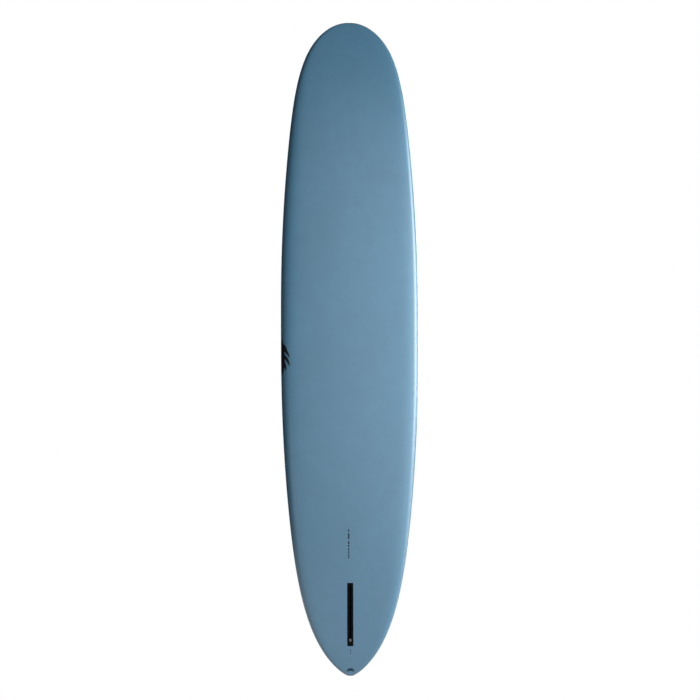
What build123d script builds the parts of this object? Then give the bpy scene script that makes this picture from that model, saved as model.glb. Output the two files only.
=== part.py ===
from build123d import *
from math import sqrt
import os

# A pintail longboard, 9 ft 2 in x 23 in x 3 in, standing on its tail.
# +Z runs from tail to nose, +X across the board, and the hull faces -Y.
# All sizes are in millimetres. The origin is the middle of the flat tail tip.

# Board
LENGTH = 2794.0
HALF_WIDTH = 293.0
WIDE_POINT = 1480.0  # widest station, above the tail
THICKNESS = 76.0
NOSE_THICKNESS = 12.0
TAIL_THICKNESS = 14.0
TAIL_HALF_WIDTH = 9.0
NOSE_ROCKER = 118.0
TAIL_ROCKER = 72.0
LOW_POINT = 1200.0  # station where the hull runs parallel to Z
APEX_SHARE = 0.4  # height of the rail's widest line above the hull
DECK_CROWN = 0.2  # fall from the deck's centre to its rail, of the thickness
HULL_ROLL = 0.045  # rise from the hull's centre to its rail, of the thickness
TIP_ROUND = 7.0  # length over which each tip is rounded

# Glass, foam and wood
GLASS = 1.2
BOND = 0.04  # glue line round the foam and beside the stringer
LAP_WIDTH = 45.0  # how far the hull's glass laps onto the deck
STRINGER = 5.0
INLAY = 0.35  # depth of the printed tissue below the outer face

# Fin box, a long centre box with a T slot
BOX_STATION = 264.0
BOX_LENGTH = 273.0
BOX_WIDTH = 26.2
FLANGE_DEPTH = 3.2
BODY_LENGTH = 266.0
BODY_WIDTH = 21.0
BOX_DEPTH = 25.4
BEDDING = 1.6
SLOT_LENGTH = 246.0
SLOT_PLACE = 4.0  # middle of the slot, ahead of the box's middle
SLOT_WIDTH = 8.6
SLOT_DEPTH = 20.4
TRACK_TOP = 5.2
TRACK_HEIGHT = 2.8
TRACK_WIDTH = 14.8
DROP_IN_LENGTH = 16.0
DROP_IN_PLACE = 30.0  # middle of the drop-in opening, ahead of the box's middle

# Fin plate and its screw, parked at the tail end of the slot
PLATE_WIDTH = 14.2
PLATE_LENGTH = 12.7
PLATE_THICKNESS = 2.4
PLATE_TOP = 5.4  # depth of the plate's upper face, 0.2 below the track's
PLATE_PLACE = -112.4  # middle of the parked plate, behind the box's middle
SCREW_RADIUS = 2.08
SCREW_HOLE_RADIUS = 2.13
SCREW_TIP_DEPTH = 18.8
HEAD_RADIUS = 3.8
HEAD_TOP_DEPTH = 0.9
HEAD_HEIGHT = 2.2
DRIVER_SLOT_WIDTH = 1.1
DRIVER_SLOT_DEPTH = 1.2

# Leash plug in the deck
PLUG_X = 24.0
PLUG_STATION = 94.0
PLUG_RADIUS = 14.3
PLUG_RIM_DEPTH = 2.0
PLUG_BODY_RADIUS = 12.8
PLUG_DEPTH = 19.0
CUP_RADIUS = 10.8
CUP_DEPTH = 16.0
PIN_RADIUS = 2.4
PIN_DEPTH = 4.4
PIN_SEAT = 1.2

# Small scoop in the hull near the tail tip: a flat floor that starts flush, sinks
# towards the nose and ends at a round sloping wall
SCOOP_STATION = 12.0
SCOOP_RADIUS = 28.1
SCOOP_FLOOR_RADIUS = 17.6
SCOOP_LIFT = 0.9  # height of the floor's middle above the hull
SCOOP_RISE = 4.5
SCOOP_TILT = 9.0

# Printed tissue under the gloss: a mark round the left rail and two labels
MARK_STATION = 1370.0
MARK_LENGTH = 176.0
MARK_REACH = 38.0
LABEL_X = -6.0
LABEL_WIDTH = 7.0
LABEL_START = 500.0
LABEL_END = 632.0
TAIL_LABEL_X = 1.0
TAIL_LABEL_WIDTH = 8.0
TAIL_LABEL_START = 92.0
TAIL_LABEL_END = 118.0

os.makedirs("parts", exist_ok=True)


def power_curve(share, terms):
    """A curve that is 1 at the tip and falls to 0, with no bend, at the wide point."""
    swell = 1.0
    for power, factor in enumerate(terms, start=1):
        swell += factor * share**power
    return (1 - share) ** 3 * swell


def half_width(z):
    """Template: half the board's width at a station."""
    if z > WIDE_POINT:
        share = ((LENGTH - z + 0.3) / (LENGTH - WIDE_POINT + 0.3)) ** 0.45
        return HALF_WIDTH * (1 - power_curve(share, (1.227, 2.538, -13.741, 21.198)))
    share = (z / WIDE_POINT) ** 0.8
    narrowing = power_curve(share, (-0.982, 1.715, 1.423))
    return HALF_WIDTH - (HALF_WIDTH - TAIL_HALF_WIDTH) * narrowing


def tip_round(z):
    """Share of the full thickness that is left where a tip rounds off."""
    from_tip = min(z, LENGTH - z, TIP_ROUND)
    return 0.36 + 0.64 * sqrt(1 - (1 - from_tip / TIP_ROUND) ** 2)


def foil(z):
    """Thickness of the board on its centreline, before the tips are rounded."""
    if z > WIDE_POINT:
        share = (z - WIDE_POINT) / (LENGTH - WIDE_POINT)
        return NOSE_THICKNESS + (THICKNESS - NOSE_THICKNESS) * (1 - share**3.4)
    share = (WIDE_POINT - z) / WIDE_POINT
    return TAIL_THICKNESS + (THICKNESS - TAIL_THICKNESS) * (1 - share**4)


def rocker(z):
    """Height of the hull's centreline above its low point, before tip rounding."""
    if z > LOW_POINT:
        return NOSE_ROCKER * ((z - LOW_POINT) / (LENGTH - LOW_POINT)) ** 2.6
    return TAIL_ROCKER * ((LOW_POINT - z) / LOW_POINT) ** 2.4


def middle_y(z):
    """The middle of the thickness, which is 0 at the tail tip."""
    return rocker(z) - TAIL_ROCKER + (foil(z) - TAIL_THICKNESS) / 2


def hull_y(z):
    return middle_y(z) - foil(z) * tip_round(z) / 2


def deck_y(z):
    return middle_y(z) + foil(z) * tip_round(z) / 2


# Places across half a section, closer together towards the rail.
ACROSS = [1 - (1 - step / 9) ** 3.2 for step in range(10)]
# The same places as shares of the quarter turn from the centre to the rail.
QUARTER = [0, 0.308, 0.532, 0.684, 0.786, 0.852, 0.896, 0.932, 0.966, 1]
AROUND = [share / 4 for share in QUARTER]
AROUND += [0.5 - share / 4 for share in reversed(QUARTER[:-1])]
AROUND += [1 - share for share in reversed(AROUND[:-1])]

# Stations of the sections, close together where the tips round off.
TAIL_STATIONS = [0, 0.5, 1.6, 3.5, 7, 12, 20, 34, 56, 90, 140, 210, 300, 420, 570, 750, 970, 1220]
NOSE_STATIONS = [1060, 830, 640, 480, 350, 250, 175, 120, 80, 52, 32, 19, 11, 6.5, 3.5, 1.6, 0.5, 0]
STATIONS = TAIL_STATIONS + [WIDE_POINT] + [LENGTH - gap for gap in NOSE_STATIONS]


def section_ring(z, inset):
    """One closed section, from the hull's centre round the right rail and back."""
    width = half_width(z) - inset
    height = foil(z) * tip_round(z) - 2 * inset
    apex = APEX_SHARE * height
    roll = HULL_ROLL * height
    crown = DECK_CROWN * height
    hull_power = 1.5 * width / apex
    deck_power = 1.2 * width / (height - apex - crown)
    level = inset + z * (LENGTH - 2 * inset) / LENGTH
    low = middle_y(level) - height / 2
    hull = []
    deck = []
    for share in ACROSS:
        turn = sqrt(1 - share**hull_power)
        hull.append((width * share, low + apex - (apex - roll * share**2) * turn))
        turn = sqrt(1 - share**deck_power)
        rise = apex + (height - apex - crown * share**2) * turn
        deck.append((width * share, low + rise))
    right = hull + deck[-2::-1]
    left = [(-x, y) for x, y in reversed(right[1:-1])]
    return level, right + left


def lofted_board(inset):
    """The board's solid, drawn in by the same depth all round."""
    with BuildPart() as body:
        for z in STATIONS:
            level, ring = section_ring(z, inset)
            with BuildSketch(Plane.XY.offset(level)):
                with BuildLine():
                    add(Edge.make_spline(ring, periodic=True, parameters=AROUND))
                make_face()
        loft(clean=False)
    return body.part


def hull_plane(z, reach):
    """A plane on the hull's centreline: local Y runs to the nose, Z out of the hull."""
    slope = (hull_y(z + reach) - hull_y(z - reach)) / (2 * reach)
    return Plane(origin=(0, hull_y(z), z), x_dir=(1, 0, 0), z_dir=(0, -1, slope))


def scoop(sink):
    """Tool for the tail scoop, sunk further to leave a skin of glass over the foam."""
    floor = hull_plane(SCOOP_STATION, 8).rotated((-SCOOP_TILT, 0, 0))
    with BuildPart() as tool:
        with BuildSketch(floor.offset(SCOOP_LIFT - sink)):
            Circle(SCOOP_FLOOR_RADIUS)
        with BuildSketch(floor.offset(SCOOP_LIFT + SCOOP_RISE - sink)):
            Circle(SCOOP_RADIUS)
        loft()
        with BuildSketch(floor.offset(SCOOP_LIFT + SCOOP_RISE - sink)):
            Circle(SCOOP_RADIUS)
        extrude(amount=10)
    return tool.part


def sunk_slab(plane, length, width, corner, top, bottom):
    """A round-cornered block between two depths below a plane."""
    with BuildPart() as slab:
        with BuildSketch(plane.offset(-bottom)):
            RectangleRounded(width, length, corner)
        extrude(amount=bottom - top)
    return slab.part


def sunk_disc(plane, radius, top, bottom):
    """A round block between two depths below a plane."""
    with BuildPart() as disc:
        with BuildSketch(plane.offset(-bottom)):
            Circle(radius)
        extrude(amount=bottom - top)
    return disc.part


def drawn_in(inset):
    """The board with its tail scoop, drawn in by the same depth all round."""
    with BuildPart() as body:
        add(lofted_board(inset))
        add(scoop(inset), mode=Mode.SUBTRACT)
    return body.part


# The whole board, its glass shell and its foam-and-wood core
with BuildPart() as outer:
    add(drawn_in(0))

with BuildPart() as glass:
    add(outer.part)
    add(drawn_in(GLASS), mode=Mode.SUBTRACT)

with BuildPart() as core:
    add(drawn_in(GLASS + BOND))

with BuildPart() as print_layer:
    add(outer.part)
    add(lofted_board(INLAY), mode=Mode.SUBTRACT)


def lap_edge(z):
    """A point on the cut-lap line, set in from the rail square to the template."""
    slope = (half_width(z + 2) - half_width(z - 2)) / 4
    square = sqrt(1 + slope**2)
    return half_width(z) - LAP_WIDTH / square, z + LAP_WIDTH * slope / square


# Space above the middle of the board and inside the cut-lap line
LAP_STATIONS = [24, 60, 130, 260, 480, 800, 1150, 1480, 1800, 2100, 2350, 2540, 2670, 2745, 2778]
with BuildPart() as lap_space:
    with BuildSketch(Plane.XZ):
        with BuildLine():
            lap_points = [(0, 46), *[lap_edge(z) for z in LAP_STATIONS], (0, LENGTH - 45.5)]
            Spline(*lap_points, tangents=[(1, 0), (-1, 0)], tangent_scalars=[1, 1])
            mirror(about=Plane.YZ)
        make_face()
    extrude(amount=200, both=True)
    with BuildSketch(Plane.YZ):
        with BuildLine():
            Spline(*[(middle_y(z), z) for z in range(0, 2794, 254)], (middle_y(LENGTH), LENGTH))
            Polyline((middle_y(LENGTH), LENGTH), (300, LENGTH), (300, 0), (middle_y(0), 0))
        make_face()
    extrude(amount=400, both=True, mode=Mode.INTERSECT)

# Fin box
box_plane = hull_plane(BOX_STATION, 100)
flange_block = sunk_slab(box_plane, BOX_LENGTH, BOX_WIDTH, 3, -10, FLANGE_DEPTH)
body_block = sunk_slab(box_plane, BODY_LENGTH, BODY_WIDTH, 8, FLANGE_DEPTH, BOX_DEPTH)
track_plane = box_plane.offset(-TRACK_TOP - TRACK_HEIGHT)

with BuildPart() as fin_box:
    add(flange_block)
    add(body_block)
    add(outer.part, mode=Mode.INTERSECT)
    with BuildSketch(box_plane.offset(-SLOT_DEPTH)):
        with Locations((0, SLOT_PLACE)):
            SlotOverall(SLOT_LENGTH, SLOT_WIDTH, rotation=90)
    extrude(amount=SLOT_DEPTH + 5, mode=Mode.SUBTRACT)
    with BuildSketch(track_plane):
        with Locations((0, SLOT_PLACE)):
            RectangleRounded(TRACK_WIDTH, SLOT_LENGTH, 1)
    extrude(amount=TRACK_HEIGHT, mode=Mode.SUBTRACT)
    with BuildSketch(track_plane):
        with Locations((0, DROP_IN_PLACE)):
            RectangleRounded(TRACK_WIDTH, DROP_IN_LENGTH, 1)
    extrude(amount=TRACK_TOP + TRACK_HEIGHT + 5, mode=Mode.SUBTRACT)

# Resin that beds the fin box into its routed pocket
bed_flange = sunk_slab(
    box_plane, BOX_LENGTH + 2 * BEDDING, BOX_WIDTH + 2 * BEDDING, 4, -10, FLANGE_DEPTH + BEDDING
)
bed_body = sunk_slab(
    box_plane,
    BODY_LENGTH + 2 * BEDDING,
    BODY_WIDTH + 2 * BEDDING,
    8 + BEDDING,
    FLANGE_DEPTH,
    BOX_DEPTH + BEDDING,
)
with BuildPart() as fin_box_bedding:
    add(bed_flange)
    add(bed_body)
    add(core.part, mode=Mode.INTERSECT)
    add(flange_block, mode=Mode.SUBTRACT)
    add(body_block, mode=Mode.SUBTRACT)

# Fin plate, a tapped plate that slides in the track
with BuildPart() as fin_plate:
    with BuildSketch(box_plane.offset(-PLATE_TOP - PLATE_THICKNESS)):
        with Locations((0, PLATE_PLACE)):
            RectangleRounded(PLATE_WIDTH, PLATE_LENGTH, 0.8)
            Circle(SCREW_HOLE_RADIUS, mode=Mode.SUBTRACT)
    extrude(amount=PLATE_THICKNESS)

# Fin screw, a slotted pan-head screw standing in the plate
HEAD_BASE_DEPTH = HEAD_TOP_DEPTH + HEAD_HEIGHT
out_of_hull = Axis(box_plane.origin, box_plane.z_dir)
with BuildPart() as fin_screw:
    with BuildSketch(box_plane.offset(-SCREW_TIP_DEPTH)):
        with Locations((0, PLATE_PLACE)):
            Circle(SCREW_RADIUS)
    extrude(amount=SCREW_TIP_DEPTH - HEAD_BASE_DEPTH)
    chamfer(fin_screw.edges().sort_by(out_of_hull)[0], 0.6)
    with BuildSketch(box_plane.offset(-HEAD_BASE_DEPTH)):
        with Locations((0, PLATE_PLACE)):
            Circle(HEAD_RADIUS)
    extrude(amount=HEAD_HEIGHT)
    fillet(fin_screw.edges().sort_by(out_of_hull)[-1], 1.0)
    with BuildSketch(box_plane.offset(-HEAD_TOP_DEPTH - DRIVER_SLOT_DEPTH)):
        with Locations((0, PLATE_PLACE)):
            Rectangle(2.5 * HEAD_RADIUS, DRIVER_SLOT_WIDTH)
    extrude(amount=DRIVER_SLOT_DEPTH + 1, mode=Mode.SUBTRACT)

# Leash plug, a round cup sunk in the deck beside the stringer
plug_plane = Plane(
    origin=(PLUG_X, deck_y(PLUG_STATION), PLUG_STATION), x_dir=(1, 0, 0), z_dir=(0, 1, 0)
)
pin_plane = Plane(
    origin=(PLUG_X, deck_y(PLUG_STATION) - PIN_DEPTH, PLUG_STATION),
    x_dir=(0, 1, 0),
    z_dir=(1, 0, 0),
)
rim_block = sunk_disc(plug_plane, PLUG_RADIUS, -10, PLUG_RIM_DEPTH)
plug_block = sunk_disc(plug_plane, PLUG_BODY_RADIUS, PLUG_RIM_DEPTH, PLUG_DEPTH)

with BuildPart() as leash_plug_pin:
    with BuildSketch(pin_plane):
        Circle(PIN_RADIUS)
    extrude(amount=CUP_RADIUS + PIN_SEAT, both=True)

with BuildPart() as cup_hollow:
    add(sunk_disc(plug_plane, CUP_RADIUS, -15, CUP_DEPTH))
    fillet(cup_hollow.edges().sort_by(Axis.Y)[0], 7)

with BuildPart() as leash_plug_cup:
    add(rim_block)
    add(plug_block)
    add(outer.part, mode=Mode.INTERSECT)
    add(cup_hollow.part, mode=Mode.SUBTRACT)
    add(leash_plug_pin.part, mode=Mode.SUBTRACT)

bed_rim = sunk_disc(plug_plane, PLUG_RADIUS + BEDDING, -10, PLUG_RIM_DEPTH + BEDDING)
bed_plug = sunk_disc(
    plug_plane, PLUG_BODY_RADIUS + BEDDING, PLUG_RIM_DEPTH, PLUG_DEPTH + BEDDING
)
with BuildPart() as leash_plug_bedding:
    add(bed_rim)
    add(bed_plug)
    add(core.part, mode=Mode.INTERSECT)
    add(rim_block, mode=Mode.SUBTRACT)
    add(plug_block, mode=Mode.SUBTRACT)

# Printed tissue, lying flush in the hull's glass
with BuildPart() as rail_mark:
    with BuildSketch(Plane.XZ):
        with BuildLine():
            edge_x = -half_width(MARK_STATION) - 10
            low_end = (edge_x, MARK_STATION - MARK_LENGTH / 2)
            high_end = (edge_x, MARK_STATION + MARK_LENGTH / 2)
            ThreePointArc(low_end, (edge_x + 10 + MARK_REACH, MARK_STATION), high_end)
            Line(high_end, low_end)
        make_face()
    extrude(amount=100, both=True)
    add(print_layer.part, mode=Mode.INTERSECT)
    split(bisect_by=Plane.XZ.offset(-middle_y(MARK_STATION)), keep=Keep.TOP)


def hull_label(x, width, start, end):
    """A strip of printed tissue on the hull's face."""
    with BuildPart() as label:
        with BuildSketch(Plane.XZ.offset(-middle_y((start + end) / 2))):
            with Locations((x, (start + end) / 2)):
                RectangleRounded(width, end - start, 1)
        extrude(amount=200)
        add(print_layer.part, mode=Mode.INTERSECT)
    return label.part


with BuildPart() as centre_label:
    add(hull_label(LABEL_X, LABEL_WIDTH, LABEL_START, LABEL_END))

with BuildPart() as tail_label:
    add(hull_label(TAIL_LABEL_X, TAIL_LABEL_WIDTH, TAIL_LABEL_START, TAIL_LABEL_END))

# Glass skins: the deck's inside the cut-lap line, the hull's round the rails up to it
with BuildPart() as deck_laminate:
    add(glass.part)
    add(lap_space.part, mode=Mode.INTERSECT, clean=False)
    add(rim_block, mode=Mode.SUBTRACT, clean=False)

with BuildPart() as bottom_laminate:
    add(glass.part)
    for cut in (lap_space.part, flange_block, rail_mark.part, centre_label.part, tail_label.part):
        add(cut, mode=Mode.SUBTRACT, clean=False)

# Stringer, the strip of wood between the foam halves, notched for the fin box
with BuildPart() as stringer:
    add(core.part)
    split(bisect_by=Plane.YZ.offset(STRINGER / 2), keep=Keep.BOTTOM)
    split(bisect_by=Plane.YZ.offset(-STRINGER / 2), keep=Keep.TOP)
    add(bed_flange, mode=Mode.SUBTRACT)
    add(bed_body, mode=Mode.SUBTRACT)

# Foam halves, routed for the fin box and the leash plug
with BuildPart() as foam_core_right:
    add(core.part)
    split(bisect_by=Plane.YZ.offset(STRINGER / 2 + BOND), keep=Keep.TOP)
    add(bed_flange, mode=Mode.SUBTRACT)
    add(bed_body, mode=Mode.SUBTRACT)
    add(bed_rim, mode=Mode.SUBTRACT)
    add(bed_plug, mode=Mode.SUBTRACT)

with BuildPart() as foam_core_left:
    add(core.part)
    split(bisect_by=Plane.YZ.offset(-STRINGER / 2 - BOND), keep=Keep.BOTTOM)
    add(bed_flange, mode=Mode.SUBTRACT)
    add(bed_body, mode=Mode.SUBTRACT)

bottom_laminate.part.label = "bottom_laminate"
export_step(bottom_laminate.part, "parts/bottom_laminate.step")

deck_laminate.part.label = "deck_laminate"
export_step(deck_laminate.part, "parts/deck_laminate.step")

foam_core_left.part.label = "foam_core_left"
export_step(foam_core_left.part, "parts/foam_core_left.step")

foam_core_right.part.label = "foam_core_right"
export_step(foam_core_right.part, "parts/foam_core_right.step")

stringer.part.label = "stringer"
export_step(stringer.part, "parts/stringer.step")

fin_box.part.label = "fin_box"
export_step(fin_box.part, "parts/fin_box.step")

fin_box_bedding.part.label = "fin_box_bedding"
export_step(fin_box_bedding.part, "parts/fin_box_bedding.step")

fin_plate.part.label = "fin_plate"
export_step(fin_plate.part, "parts/fin_plate.step")

fin_screw.part.label = "fin_screw"
export_step(fin_screw.part, "parts/fin_screw.step")

leash_plug_cup.part.label = "leash_plug_cup"
export_step(leash_plug_cup.part, "parts/leash_plug_cup.step")

leash_plug_pin.part.label = "leash_plug_pin"
export_step(leash_plug_pin.part, "parts/leash_plug_pin.step")

leash_plug_bedding.part.label = "leash_plug_bedding"
export_step(leash_plug_bedding.part, "parts/leash_plug_bedding.step")

rail_mark.part.label = "rail_mark"
export_step(rail_mark.part, "parts/rail_mark.step")

centre_label.part.label = "centre_label"
export_step(centre_label.part, "parts/centre_label.step")

tail_label.part.label = "tail_label"
export_step(tail_label.part, "parts/tail_label.step")
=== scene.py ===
from math import cos, pi, radians, sin, sqrt

import bpy
import numpy as np
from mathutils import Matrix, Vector


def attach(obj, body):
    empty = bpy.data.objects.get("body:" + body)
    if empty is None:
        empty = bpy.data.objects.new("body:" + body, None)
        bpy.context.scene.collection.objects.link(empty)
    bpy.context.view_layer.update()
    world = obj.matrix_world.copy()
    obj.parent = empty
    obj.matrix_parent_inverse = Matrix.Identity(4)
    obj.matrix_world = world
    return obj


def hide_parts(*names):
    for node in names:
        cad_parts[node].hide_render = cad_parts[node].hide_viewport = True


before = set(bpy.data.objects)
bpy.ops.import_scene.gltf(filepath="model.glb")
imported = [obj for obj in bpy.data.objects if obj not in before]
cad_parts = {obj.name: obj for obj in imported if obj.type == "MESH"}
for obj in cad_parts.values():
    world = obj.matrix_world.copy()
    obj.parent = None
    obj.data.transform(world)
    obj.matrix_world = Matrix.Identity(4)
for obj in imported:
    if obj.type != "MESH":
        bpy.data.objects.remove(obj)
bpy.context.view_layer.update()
MM = 0.001

# ---------------------------------------------------------------- camera

CAMERA_PLACE = (0.0017, -20, 1.3928)
CAMERA_ROLL = radians(0.14)
CAMERA_LENS = 240.6

camera_data = bpy.data.cameras.new("camera")
camera_data.sensor_width = 36
camera_data.lens = CAMERA_LENS
camera_data.clip_end = 200
camera = bpy.data.objects.new("camera", camera_data)
camera.location = CAMERA_PLACE
camera.rotation_euler = (pi / 2, CAMERA_ROLL, 0)
bpy.context.scene.collection.objects.link(camera)
bpy.context.scene.camera = camera

# ---------------------------------------------------------------- the board's form, in mm

LENGTH = 2794.0
HALF_WIDTH = 293.0
WIDE_POINT = 1480.0
THICKNESS = 76.0
NOSE_THICKNESS = 12.0
TAIL_THICKNESS = 14.0
TAIL_HALF_WIDTH = 9.0
NOSE_ROCKER = 118.0
TAIL_ROCKER = 72.0
LOW_POINT = 1200.0
NOSE_ROCKER_POWER = 2.6
TAIL_ROCKER_POWER = 2.4
NOSE_FOIL_POWER = 3.4
TAIL_FOIL_POWER = 4
NOSE_OUTLINE = (1.227, 2.538, -13.741, 21.198)
NOSE_OUTLINE_POWER = 0.45
NOSE_FLAT = 0.3  # keeps the outline's slope finite at the nose
TAIL_OUTLINE = (-0.982, 1.715, 1.423)
TAIL_OUTLINE_POWER = 0.8
APEX_SHARE = 0.4  # the rail's widest line, as a share of the height
DECK_CROWN = 0.2
HULL_ROLL = 0.045
HULL_FULLNESS = 1.5  # how late the hull turns into the rail
DECK_FULLNESS = 1.2
TIP_ROUND = 7.0
TIP_SHARE = 0.36  # the height left at the flat tips
GLASS = 1.2
LAP_WIDTH = 45.0
LAP_TAIL = 46.0
LAP_NOSE = LENGTH - 45.5


def power_curve(share, terms):
    """A curve from 1 that flattens to 0, shaped by its terms."""
    swell = 1 + sum(factor * share ** (power + 1) for power, factor in enumerate(terms))
    return (1 - share) ** 3 * swell


def half_width(z):
    from_nose = np.maximum(LENGTH - z, 0) + NOSE_FLAT
    share = np.minimum(from_nose / (LENGTH - WIDE_POINT + NOSE_FLAT), 1) ** NOSE_OUTLINE_POWER
    nose = HALF_WIDTH * (1 - power_curve(share, NOSE_OUTLINE))
    share = np.clip(z / WIDE_POINT, 0, 1) ** TAIL_OUTLINE_POWER
    narrowing = power_curve(share, TAIL_OUTLINE)
    tail = HALF_WIDTH - (HALF_WIDTH - TAIL_HALF_WIDTH) * narrowing
    return np.where(z > WIDE_POINT, nose, tail)


def tip_round(z):
    from_tip = np.clip(np.minimum(z, LENGTH - z), 0, TIP_ROUND)
    return TIP_SHARE + (1 - TIP_SHARE) * np.sqrt(1 - (1 - from_tip / TIP_ROUND) ** 2)


def foil(z):
    share = np.clip((z - WIDE_POINT) / (LENGTH - WIDE_POINT), 0, None)
    nose = NOSE_THICKNESS + (THICKNESS - NOSE_THICKNESS) * (1 - share**NOSE_FOIL_POWER)
    share = np.clip((WIDE_POINT - z) / WIDE_POINT, 0, None)
    tail = TAIL_THICKNESS + (THICKNESS - TAIL_THICKNESS) * (1 - share**TAIL_FOIL_POWER)
    return np.where(z > WIDE_POINT, nose, tail)


def rocker(z):
    ahead = np.clip((z - LOW_POINT) / (LENGTH - LOW_POINT), 0, None)
    behind = np.clip((LOW_POINT - z) / LOW_POINT, 0, None)
    return NOSE_ROCKER * ahead**NOSE_ROCKER_POWER + TAIL_ROCKER * behind**TAIL_ROCKER_POWER


def section(z):
    """Half width, height, lowest y, apex height and the hull's and deck's edge powers."""
    z = np.asarray(z, float)
    width = half_width(z)
    height = foil(z) * tip_round(z)
    low = rocker(z) - TAIL_ROCKER + (foil(z) - TAIL_THICKNESS) / 2 - height / 2
    apex = APEX_SHARE * height
    hull_power = HULL_FULLNESS * width / apex
    deck_power = DECK_FULLNESS * width / (height - apex - DECK_CROWN * height)
    return width, height, low, apex, hull_power, deck_power


def surface_y(x, z, deck):
    """The outer face's y over a point of the template."""
    width, height, low, apex, hull_power, deck_power = section(z)
    share = np.clip(np.abs(x) / width, 0, 1)
    hull_turn = np.sqrt(np.clip(1 - share**hull_power, 0, 1))
    deck_turn = np.sqrt(np.clip(1 - share**deck_power, 0, 1))
    hull = low + apex - (apex - HULL_ROLL * height * share**2) * hull_turn
    top = low + apex + (height - apex - DECK_CROWN * height * share**2) * deck_turn
    return np.where(deck, top, hull)


def field(x, y, z, deck):
    """Zero on the outer face and growing outwards, for its normals."""
    width, height, low, apex, hull_power, deck_power = section(z)
    share = np.abs(x) / width
    hull = (low + apex - y) / (apex - HULL_ROLL * height * share**2)
    top = (y - low - apex) / (height - apex - DECK_CROWN * height * share**2)
    rise = np.where(deck, top, hull)
    return rise * rise + share ** np.where(deck, deck_power, hull_power) - 1


SLOPE_STEP = 0.02


def face_normals(points, deck):
    """Unit normals of the outer face, in rows of x, y, z."""
    x, y, z = points.T
    z = np.clip(z, 0.05, LENGTH - 0.05)
    h = SLOPE_STEP
    grad = np.stack(
        [
            field(x + h, y, z, deck) - field(x - h, y, z, deck),
            field(x, y + h, z, deck) - field(x, y - h, z, deck),
            field(x, y, z + h, deck) - field(x, y, z - h, deck),
        ],
        axis=1,
    )
    grad[points[:, 2] < 0.01] = (0, 0, -1)
    grad[points[:, 2] > LENGTH - 0.01] = (0, 0, 1)
    return grad / np.linalg.norm(grad, axis=1)[:, None]


def share_measure(share, power):
    """How far round a section a share of the half width lies, from 0 to 1 at the rail."""
    angle = np.arcsin(np.clip(share, 0, 1) ** (power / 2))
    return 0.35 * share + 0.65 * angle * 2 / pi


def around_share(measure, power):
    """The share of the half width that lies so far round a section."""
    low, high = np.zeros_like(measure), np.ones_like(measure)
    for _ in range(48):
        middle = (low + high) / 2
        short = share_measure(middle, power) < measure
        low, high = np.where(short, middle, low), np.where(short, high, middle)
    return high


# ---------------------------------------------------------------- the cut-lap line on the deck

LAP_STATIONS = [24, 60, 130, 260, 480, 800, 1150, 1480, 1800, 2100, 2350, 2540, 2670, 2745, 2778]
LAP_SPAN_STEPS = 60


def lap_point(z):
    slope = (half_width(z + 2.0) - half_width(z - 2.0)) / 4
    square = sqrt(1 + slope**2)
    return float(half_width(z) - LAP_WIDTH / square), float(z + LAP_WIDTH * slope / square)


def smooth_through(points, first, last):
    """A smooth line through points, with the given unit directions at its ends."""
    points = np.array(points, float)
    spans = np.linalg.norm(np.diff(points, axis=0), axis=1)
    directions = np.gradient(points, np.concatenate([[0], np.cumsum(spans)]), axis=0)
    directions[0], directions[-1] = first, last
    line = []
    for k, span in enumerate(spans):
        t = np.linspace(0, 1, LAP_SPAN_STEPS, endpoint=False)[:, None]
        start, end = points[k], points[k + 1]
        line.append(
            (2 * t**3 - 3 * t**2 + 1) * start
            + (t**3 - 2 * t**2 + t) * span * directions[k]
            + (3 * t**2 - 2 * t**3) * end
            + (t**3 - t**2) * span * directions[k + 1]
        )
    return np.concatenate([*line, points[-1:]])


lap_points = [(0, LAP_TAIL), *[lap_point(z) for z in LAP_STATIONS], (0, LAP_NOSE)]
LAP_LINE = smooth_through(lap_points, (1, 0), (-1, 0))
LAP_Z = np.maximum.accumulate(LAP_LINE[:, 1])


def lap_x(z):
    """Half the width inside the cut-lap line, 0 beyond its ends."""
    inside = np.interp(z, LAP_Z, LAP_LINE[:, 0])
    return np.where((z <= LAP_TAIL + 1e-6) | (z >= LAP_NOSE - 1e-6), 0, inside)


# ---------------------------------------------------------------- mesh tools

SHARP = radians(35)


def make_object(name, points, faces, normals=None):
    """A mesh object from points in mm. Rows of normals that are zero are left to Blender."""
    mesh = bpy.data.meshes.new(name)
    mesh.from_pydata((np.asarray(points) * MM).tolist(), [], [tuple(map(int, f)) for f in faces])
    mesh.validate()
    mesh.shade_smooth()
    mesh.set_sharp_from_angle(angle=SHARP)
    if normals is not None:
        mesh.normals_split_custom_set(normals)
    piece = bpy.data.objects.new(name, mesh)
    bpy.context.scene.collection.objects.link(piece)
    return piece


def open_edges(faces):
    """Directed edges that belong to one face only."""
    seen = {}
    for face in faces:
        for a, b in zip(face, [*face[1:], face[0]]):
            seen[(a, b)] = True
    return [edge for edge in seen if (edge[1], edge[0]) not in seen]


def thick_skin(name, points, faces, normals, thickness, keep_normals):
    """A closed skin: the outer face, the same face drawn in, and the walls between."""
    count = len(points)
    inner = points - normals * thickness
    walls = [(b, a, a + count, b + count) for a, b in open_edges(faces)]
    back = [tuple(i + count for i in reversed(face)) for face in faces]
    loop_normals = []
    for face in faces:
        loop_normals += [tuple(normals[i]) if keep_normals[i] else (0, 0, 0) for i in face]
    for face in back + walls:
        loop_normals += [(0, 0, 0)] * len(face)
    return make_object(name, np.concatenate([points, inner]), [*faces, *back, *walls], loop_normals)


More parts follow.
